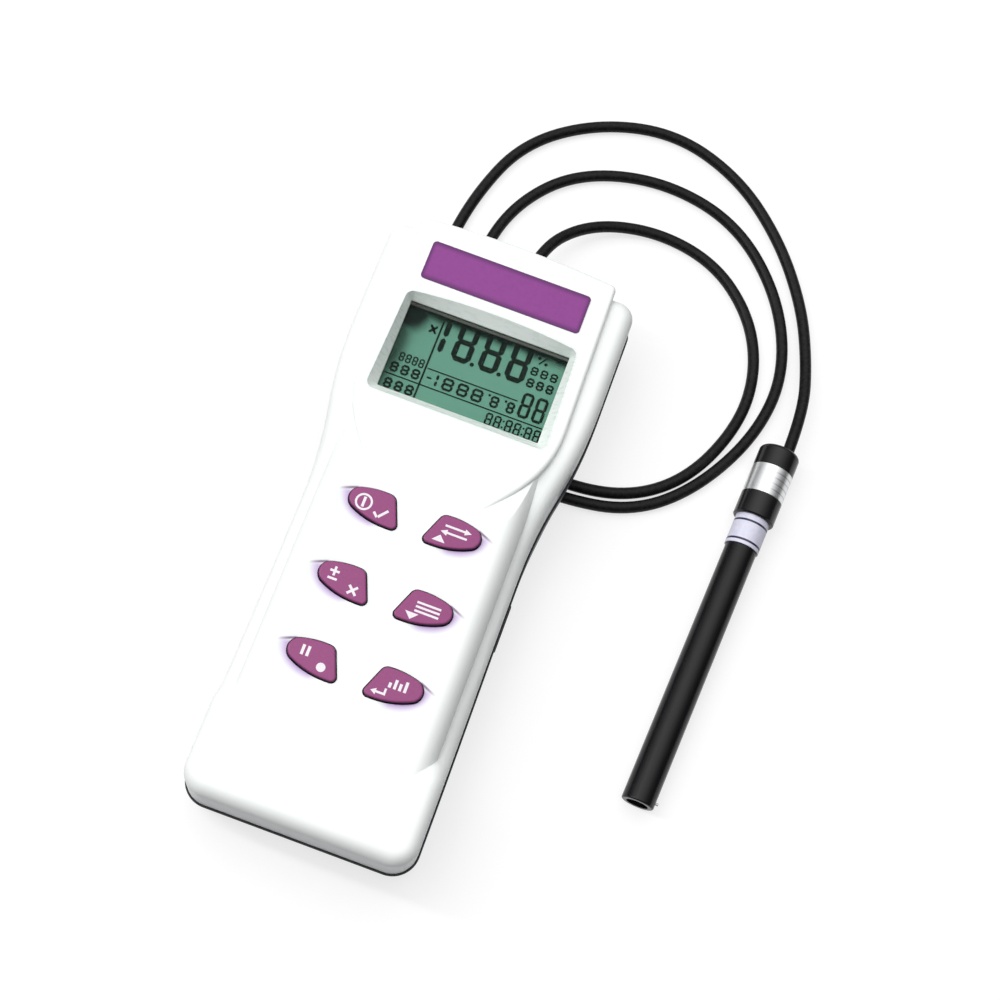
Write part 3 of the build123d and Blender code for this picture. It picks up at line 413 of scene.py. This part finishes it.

# The six keys are moulded in purple plastic, with painted shade darkening their sides, and carry
# plain white printed signs: on/off, check, sign, arrows, bars and enter.
key_plastic = Recipe("key_plastic", (0.30, 0.060, 0.200), 0.36, Specular_IOR_Level=0.30)
key_grain = key_plastic.noise(1300.0, 3.0)
key_top = key_plastic.mix(key_grain, (0.265, 0.050, 0.180), (0.34, 0.072, 0.222))
# Painted shade: below the top of its rounded edge, each key's colour goes near black for the shaded gap round
# it.
key_side_shade = key_plastic.z.ramp(0.03292, 0.03255)
key_plastic.feed("Base Color", key_plastic.mix(key_side_shade, key_top, (0.035, 0.006, 0.034)))
key_plastic.feed("Roughness", 0.30 + key_grain * 0.12)
key_plastic.bump(key_grain, 0.000012)
key_names = ("key_power", "key_up", "key_calibrate", "key_down", "key_hold", "key_enter")
key_plastic.on(*key_names)

white_print = Recipe("white_print", (0.86, 0.84, 0.87), 0.45)
print_wear = white_print.noise(1500.0, 2.0)
white_print.feed("Base Color", white_print.mix(print_wear, (0.78, 0.72, 0.80), (0.92, 0.91, 0.93)))


def ring(mesh, x, y, radius, width):
    """A flat ring from its middle and outer radius."""
    place = Matrix.Translation((x / 1000, y / 1000, 0))
    outer = bmesh.ops.create_circle(mesh, segments=40, radius=radius / 1000, matrix=place)
    inner = bmesh.ops.create_circle(mesh, segments=40, radius=(radius - width) / 1000, matrix=place)
    rims = {edge for vert in outer["verts"] + inner["verts"] for edge in vert.link_edges}
    bmesh.ops.bridge_loops(mesh, edges=list(rims))


def arrowhead(mesh, x, y, width, height, turn=0.0):
    """A flat triangle that points up before it is turned, from the middle of its box."""
    place = Matrix.Translation((x / 1000, y / 1000, 0)) @ Matrix.Rotation(math.radians(turn), 4, "Z")
    place = place @ Matrix.Diagonal((width / math.sqrt(3), height / 1.5, 1, 1))
    place = place @ Matrix.Translation((0, -0.25 * 0.001, 0))
    bmesh.ops.create_circle(mesh, cap_ends=True, segments=3, radius=0.001, matrix=place)


def cross(mesh, x, y, length, width, turn=0.0):
    """Two flat bars across each other, as one whole bar and two halves that end at its sides."""
    stroke(mesh, x, y, length, width, turn, 0.0)
    half = (length - width) / 2
    for way in (turn + 90, turn - 90):
        reach = (half + width) / 2
        stroke(mesh, x + reach * math.cos(math.radians(way)), y + reach * math.sin(math.radians(way)),
               half, width, way, 0.0)


signs = {name: bmesh.new() for name in key_names}
ring(signs["key_power"], -15.4, -1.6, 2.6, 0.62)
stroke(signs["key_power"], -15.4, -1.6, 3.2, 0.8, 90, 0.0)
stroke(signs["key_power"], -11.0, -4.05, 1.9, 0.75, -45, 0.0)
stroke(signs["key_power"], -8.95, -3.15, 3.6, 0.75, 50, 0.0)
cross(signs["key_calibrate"], -15.6, -24.0, 2.8, 0.7)
stroke(signs["key_calibrate"], -15.6, -26.3, 2.8, 0.7, 0, 0.0)
cross(signs["key_calibrate"], -9.0, -27.6, 3.6, 0.75, 45)
for x in (-15.7, -14.1):
    stroke(signs["key_hold"], x, -48.5, 3.0, 0.85, 90, 0.0)
dot(signs["key_hold"], -9.2, -51.6, 1.35)
for y, way in ((0.25, 1), (-1.75, -1)):
    stroke(signs["key_up"], 12.6 - 0.6 * way, y, 6.0, 0.65, 0, 0.0)
    arrowhead(signs["key_up"], 12.6 + 3.4 * way, y, 1.9, 2.0, -90 * way)
arrowhead(signs["key_up"], 8.6, -4.0, 4.0, 2.1)
for y in (-24.1, -25.4, -26.7):
    stroke(signs["key_down"], 13.0, y, 7.2, 0.65, 0, 0.0)
arrowhead(signs["key_down"], 9.0, -28.6, 4.0, 2.1, 180)
for x, height in ((10.6, 1.5), (12.1, 2.8), (13.6, 2.1), (15.1, 3.2)):
    stroke(signs["key_enter"], x, -50.2 + height / 2, height, 0.85, 90, 0.0)
stroke(signs["key_enter"], 8.9, -52.5, 2.8, 0.65, 0, 0.0)
stroke(signs["key_enter"], 9.975, -51.475, 1.4, 0.65, 90, 0.0)
arrowhead(signs["key_enter"], 6.7, -52.5, 1.9, 1.6, 90)
for name, mesh in signs.items():
    printed(name + "_sign", mesh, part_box(name)[1][2] + 0.00003, 0.00002, white_print.material,
            name + "_body")

# The probe is a satin black tube with an open measuring chamber in its end,
# under a glossy black handle with a silver band, a ring and a cap.
probe_axis = (0.065395, 0.997736, 0.015721)
probe_tip = 0.0890526 * probe_axis[0] - 0.0504283 * probe_axis[1] + 0.0049994 * probe_axis[2]


def probe_height(recipe):
    """Distance along the probe from its tip, in metres."""
    values = (recipe.place, probe_axis)
    along_axis = Recipe.node(recipe.tree, "ShaderNodeVectorMath", {"operation": "DOT_PRODUCT"}, values, 1)
    return along_axis - probe_tip


tube_plastic = Recipe("tube_plastic", (0.007, 0.007, 0.008), 0.24, Specular_IOR_Level=0.24)
drawn = tube_plastic.noise(500.0, 3.0, (3.0, 0.4, 3.0))
tube_plastic.feed("Base Color", tube_plastic.mix(drawn, (0.005, 0.005, 0.006), (0.009, 0.009, 0.010)))
tube_plastic.feed("Roughness", 0.18 + drawn * 0.10)
tube_plastic.bump(drawn, 0.00002)
tube_plastic.on("probe_tube", "cell_core")

handle_plastic = Recipe("handle_plastic", (0.006, 0.006, 0.007), 0.18, Specular_IOR_Level=0.30)
polish = handle_plastic.noise(350.0, 3.0)
handle_plastic.feed("Base Color", handle_plastic.mix(polish, (0.006, 0.006, 0.007), (0.012, 0.012, 0.013)))
handle_plastic.feed("Roughness", 0.16 + polish * 0.12)
handle_plastic.on("probe_head", "probe_cap")

silver_film = Recipe("silver_film", (0.80, 0.81, 0.82), 0.30, Metallic=0.85)
band_height = probe_height(silver_film)
lines = ((band_height - 0.1032) / 0.0019 + 0.5).math("FRACT")
line_marks = abs(lines - 0.5).ramp(0.18, 0.06)
line_mask = line_marks * silver_film.x.ramp(0.0960, 0.0985)
brushed = silver_film.noise(900.0, 2.0, (0.3, 6.0, 0.3))
silver = silver_film.mix(brushed, (0.70, 0.71, 0.715), (0.86, 0.865, 0.875))
silver_film.feed("Base Color", silver_film.mix(line_mask * 0.55, silver, (0.30, 0.31, 0.32)))
silver_film.feed("Roughness", 0.24 + brushed * 0.16)
silver_film.on("label_band")

ring_plastic = Recipe("ring_plastic", (0.70, 0.70, 0.84), 0.38)
ring_height = probe_height(ring_plastic)
upper_line = abs(ring_height - 0.09325).ramp(0.00042, 0.00026)
lower_line = abs(ring_height - 0.08680).ramp(0.00042, 0.00026)
ring_clouds = ring_plastic.noise(700.0, 2.0)
ring_tone = ring_plastic.mix(ring_clouds, (0.62, 0.62, 0.80), (0.80, 0.80, 0.90))
ring_lines = upper_line.most(lower_line)
ring_plastic.feed("Base Color", ring_plastic.mix(ring_lines, ring_tone, (0.010, 0.010, 0.045)))
ring_plastic.feed("Roughness", 0.34 + ring_clouds * 0.10)
ring_plastic.on("marking_ring")

# Bare metal pieces: zinc plated screws and pins, sprung contacts, the
# polished rings of the measuring cell and turned brass inserts.
zinc = Recipe("zinc", (0.60, 0.60, 0.61), 0.34, Metallic=1.0)
zinc_grain = zinc.noise(1600.0, 3.0)
zinc.feed("Base Color", zinc.mix(zinc_grain, (0.50, 0.50, 0.51), (0.70, 0.70, 0.71)))
zinc.feed("Roughness", 0.26 + zinc_grain * 0.18)
zinc.on("case_screws", "board_screws", "flap_pin", "sensor_pin", "cell_electrodes")

nickel = Recipe("nickel", (0.74, 0.72, 0.68), 0.24, Metallic=1.0)
nickel_grain = nickel.noise(1200.0, 2.0)
nickel.feed("Roughness", 0.18 + nickel_grain * 0.16)
nickel.feed("Base Color", nickel.mix(nickel_grain, (0.66, 0.64, 0.60), (0.80, 0.78, 0.75)))
nickel.on("battery_springs", "battery_plates", "switch_domes")

turned_brass = Recipe("turned_brass", (0.78, 0.56, 0.24), 0.30, Metallic=1.0)
turning = turned_brass.noise(900.0, 2.0, (0.3, 0.3, 8.0))
turned_brass.feed("Base Color", turned_brass.mix(turning, (0.68, 0.48, 0.20), (0.86, 0.64, 0.30)))
turned_brass.feed("Roughness", 0.24 + turning * 0.18)
turned_brass.on("screw_inserts")

# The four cells wear a plain two-tone sleeve, with bare metal at the ends.
cell_sleeve = Recipe("cell_sleeve", (0.03, 0.09, 0.22), 0.30)
sleeve_step = cell_sleeve.y.ramp(-0.0558, -0.0556)
sleeve_end = abs(cell_sleeve.y + 0.06375).ramp(0.0203, 0.0206)
foil = cell_sleeve.noise(600.0, 2.0)
sleeve = cell_sleeve.mix(sleeve_step, (0.020, 0.022, 0.026), (0.62, 0.36, 0.12))
cell_sleeve.feed("Base Color", cell_sleeve.mix(sleeve_end, sleeve, (0.66, 0.66, 0.65)))
cell_sleeve.feed("Metallic", sleeve_end * 0.9)
cell_sleeve.feed("Roughness", 0.22 + foil * 0.16)
cell_sleeve.on("battery_cells")

# The circuit board has a green lacquer with darker tracks, and its chips,
# switches, nut and socket are moulded in black.
board_lacquer = Recipe("board_lacquer", (0.012, 0.11, 0.045), 0.32)
track_x = (board_lacquer.x * 420.0).math("FRACT")
track_y = (board_lacquer.y * 60.0).math("FRACT")
tracks = abs(track_x - 0.5).ramp(0.16, 0.12) * abs(track_y - 0.5).ramp(0.44, 0.40)
board_lacquer.feed("Base Color", board_lacquer.mix(tracks, (0.008, 0.085, 0.032), (0.024, 0.17, 0.075)))
board_lacquer.feed("Roughness", 0.28 + board_lacquer.noise(400.0) * 0.14)
board_lacquer.on("main_board")

black_moulding = Recipe("black_moulding", (0.022, 0.022, 0.023), 0.45)
pits = black_moulding.noise(1400.0, 2.0)
black_moulding.feed("Base Color", black_moulding.mix(pits, (0.016, 0.016, 0.017), (0.034, 0.034, 0.035)))
black_moulding.feed("Roughness", 0.38 + pits * 0.16)
black_moulding.on("board_chips", "tact_switches", "gland_nut", "dc_jack")

# The display's holder, its contact strips and the cord's plug are small pale
# mouldings inside the case.
pale_moulding = Recipe("pale_moulding", (0.62, 0.61, 0.56), 0.42)
pale_grain = pale_moulding.noise(1100.0, 2.0)
pale_moulding.feed("Base Color", pale_moulding.mix(pale_grain, (0.56, 0.55, 0.50), (0.68, 0.67, 0.62)))
pale_moulding.on("lcd_frame", "probe_connector")

strip_rubber = Recipe("strip_rubber", (0.45, 0.18, 0.16), 0.55)
layers = (strip_rubber.x * 1600.0).math("FRACT")
strip_mask = abs(layers - 0.5).ramp(0.20, 0.14)
strip_rubber.feed("Base Color", strip_rubber.mix(strip_mask, (0.42, 0.17, 0.15), (0.03, 0.03, 0.03)))
strip_rubber.on("lcd_connectors")

# A plain white table top, seen as white by the camera and in reflections,
# that keeps the soft shadow of the meter.
table_mesh = bmesh.new()
bmesh.ops.create_grid(table_mesh, x_segments=1, y_segments=1, size=3.0)
table_data = bpy.data.meshes.new("table_top")
table_mesh.to_mesh(table_data)
table_mesh.free()
table = bpy.data.objects.new("table_top", table_data)
scene.collection.objects.link(table)
table_paint = Recipe("table_paint", (0.9, 0.9, 0.9), 0.9, Specular_IOR_Level=0.0, Emission_Strength=1.0)
rays = table_paint.tree.nodes.new("ShaderNodeLightPath")
camera_ray = Signal(table_paint.tree, rays.outputs["Is Camera Ray"])
glossy_ray = Signal(table_paint.tree, rays.outputs["Is Glossy Ray"])
seen = camera_ray.most(glossy_ray)
table_paint.feed("Base Color", table_paint.mix(seen, (0.26, 0.26, 0.28), (0.34, 0.34, 0.34)))
table_paint.feed("Emission Color", table_paint.mix(seen, (0.0, 0.0, 0.0), (0.70, 0.70, 0.70)))
table_data.materials.append(table_paint.material)

# The surroundings are a plain white light tent, brightest overhead and a
# little to the upper left, and dim towards its foot.
room = bpy.data.worlds.new("room")
room.use_nodes = True
scene.world = room
room_tree = room.node_tree
room_place = room_tree.nodes.new("ShaderNodeTexCoord")
heading = Signal(room_tree, room_place.outputs["Generated"])
overhead = Recipe.node(room_tree, "ShaderNodeVectorMath", {"operation": "DOT_PRODUCT"},
                       (heading, (-0.17, 0.26, 0.95)), 1).most(0.0)
brightness = 0.02 + overhead * overhead * overhead * 2.05
room_rays = room_tree.nodes.new("ShaderNodeLightPath")
room_seen = Signal(room_tree, room_rays.outputs["Is Camera Ray"])
strength = brightness + room_seen * (1.0 - brightness)
background = room_tree.nodes["Background"]
background.inputs["Color"].default_value = (1.0, 1.0, 1.0, 1.0)
room_tree.links.new(strength.socket, background.inputs["Strength"])

# A narrow strip lamp stands at the left, for the long highlight on the probe
# and the cord.
strip_data = bpy.data.lights.new("left_strip", "AREA")
strip_data.shape = "RECTANGLE"
strip_data.size = 0.05
strip_data.size_y = 0.9
strip_data.energy = 2.9
strip_lamp = bpy.data.objects.new("left_strip", strip_data)
strip_place = Vector((-0.52, -0.02, 0.66))
strip_facing = (Vector((0.06, 0.0, 0.0)) - strip_place).to_track_quat("-Z", "Y")
strip_lamp.matrix_world = Matrix.Translation(strip_place) @ strip_facing.to_matrix().to_4x4()
scene.collection.objects.link(strip_lamp)
